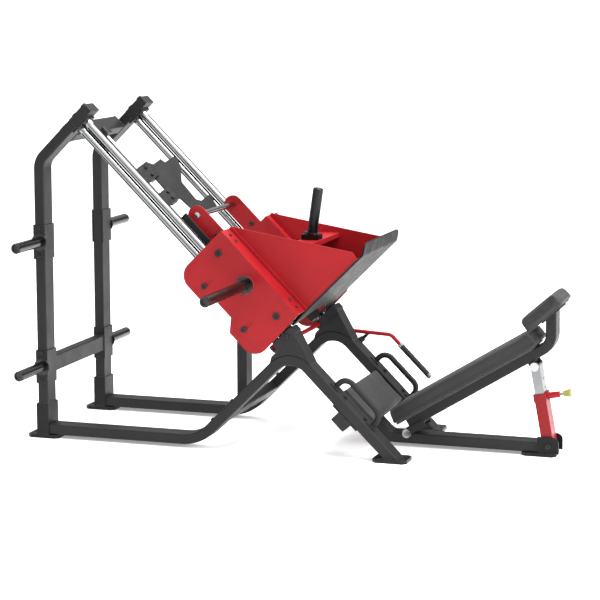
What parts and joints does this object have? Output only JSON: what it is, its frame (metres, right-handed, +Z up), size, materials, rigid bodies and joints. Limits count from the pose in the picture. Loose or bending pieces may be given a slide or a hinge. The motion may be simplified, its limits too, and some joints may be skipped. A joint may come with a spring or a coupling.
{
  "type": "plate-loaded leg press",
  "caption": "Inclined leg press: a sled with foot plate and weight horns slides on guide rods above an adjustable padded seat, with a hooked safety lock.",
  "frame": {"origin": "centre of the machine's footprint, on the floor", "axes": "+X from the rear posts towards the seat, +Y to the user's right, +Z up"},
  "size_m": [2.5733, 1.87, 1.6111],
  "materials": {
    "grey_paint": "satin powder coat",
    "red_paint": "satin powder coat",
    "chrome_shafts": "polished",
    "footplate_paint": "satin textured coat",
    "bolts": "black oxide",
    "vinyl": "grained vinyl",
    "board": "black-faced board",
    "black_rubber": "matte",
    "black_plastic": "matte",
    "bronze": "oiled",
    "yellow_knob": "glossy"
  },
  "bodies": {
    "frame": {"left_rear_post": "grey_paint", "right_rear_post": "grey_paint", "left_base_tube": "grey_paint", "right_base_tube": "grey_paint", "top_cross_beam": "grey_paint", "rear_cross_tube": "grey_paint", "lower_cross_tube": "grey_paint", "centre_post": "grey_paint", "leg_cross_tube": "grey_paint", "rail_caps": "grey_paint", "left_guide_rods": "chrome_shafts", "right_guide_rods": "chrome_shafts", "rod_collars": "chrome_shafts", "rail_feet": "black_rubber", "carriage_bumpers": "black_rubber", "left_rail_saddle": "grey_paint", "right_rail_saddle": "grey_paint", "left_storage_horns": "chrome_shafts", "right_storage_horns": "chrome_shafts", "horn_brackets": "grey_paint", "floor_plates": "grey_paint", "frame_bolts": "bolts", "seat_beam": "grey_paint", "strut_clevis": "grey_paint", "hinge_pins": "chrome_shafts", "seat_board": "board", "seat_pad": "vinyl", "left_grab_handle": "grey_paint", "right_grab_handle": "grey_paint", "handle_rest": "grey_paint", "lock_bearings": "grey_paint"},
    "release": {"release_handle": "red_paint", "release_grip": "black_rubber", "grip_rings": "chrome_shafts"},
    "lock": {"lock_rod": "chrome_shafts", "hook_plate": "grey_paint", "hook_clamps": "grey_paint", "clamp_screws": "bolts"},
    "sled": {"left_side_plate": "red_paint", "right_side_plate": "red_paint", "left_ear_plate": "red_paint", "right_ear_plate": "red_paint", "left_bearing_block": "black_plastic", "right_bearing_block": "black_plastic", "rod_bushings": "bronze", "catch_shaft": "chrome_shafts", "tray": "red_paint", "foot_plate": "footplate_paint", "side_weight_horns": "chrome_shafts", "centre_weight_horn": "chrome_shafts", "carriage_bolts": "bolts"},
    "backrest": {"backrest_frame": "grey_paint", "pad_boards": "board", "back_pad": "vinyl", "headrest_pad": "vinyl", "strut_top_pin": "chrome_shafts"},
    "strut_lower": {"strut_sleeve": "red_paint", "pop_pin_barrel": "red_paint"},
    "strut_upper": {"strut_tube": "chrome_shafts"},
    "latch": {"pop_pin": "yellow_knob"}
  },
  "joints": [
    {"name": "sled_slide", "type": "slide", "parent": "frame", "child": "sled", "axis": [-0.7071, 0, 0.7071], "range_m": [0, 0.58]},
    {"name": "release_turn", "type": "hinge", "parent": "frame", "child": "release", "pos_m": [-0.03033, 0, 0.50346], "axis": [0, -1, 0], "range_deg": [0, 29]},
    {"name": "hook_swing", "type": "hinge", "parent": "frame", "child": "lock", "pos_m": [-0.41288, 0, 0.81812], "axis": [0.7071, 0, -0.7071], "range_deg": [-1, 47.5]},
    {"name": "backrest_tilt", "type": "hinge", "parent": "frame", "child": "backrest", "pos_m": [0.516, 0, 0.066], "axis": [0, -1, 0], "range_deg": [-7.23, 3.61]},
    {"name": "strut_swing", "type": "hinge", "parent": "frame", "child": "strut_lower", "pos_m": [1.189, 0, 0.048], "axis": [0, -1, 0], "range_deg": [-5.2, 2.7]},
    {"name": "strut_slide", "type": "slide", "parent": "strut_lower", "child": "strut_upper", "axis": [-0.1854, 0, 0.9827], "range_m": [-0.086, 0.044]},
    {"name": "pop_pin_slide", "type": "slide", "parent": "strut_lower", "child": "latch", "axis": [0.9827, 0, 0.1854], "range_m": [-0.012, 0]}
  ],
  "couplings": [
    {"joint": "hook_swing", "follows": "release_turn", "ratio": 1.62},
    {"joint": "strut_swing", "follows": "backrest_tilt", "ratio": 0.7},
    {"joint": "strut_slide", "follows": "backrest_tilt", "m_per_rad": 0.666}
  ]
}
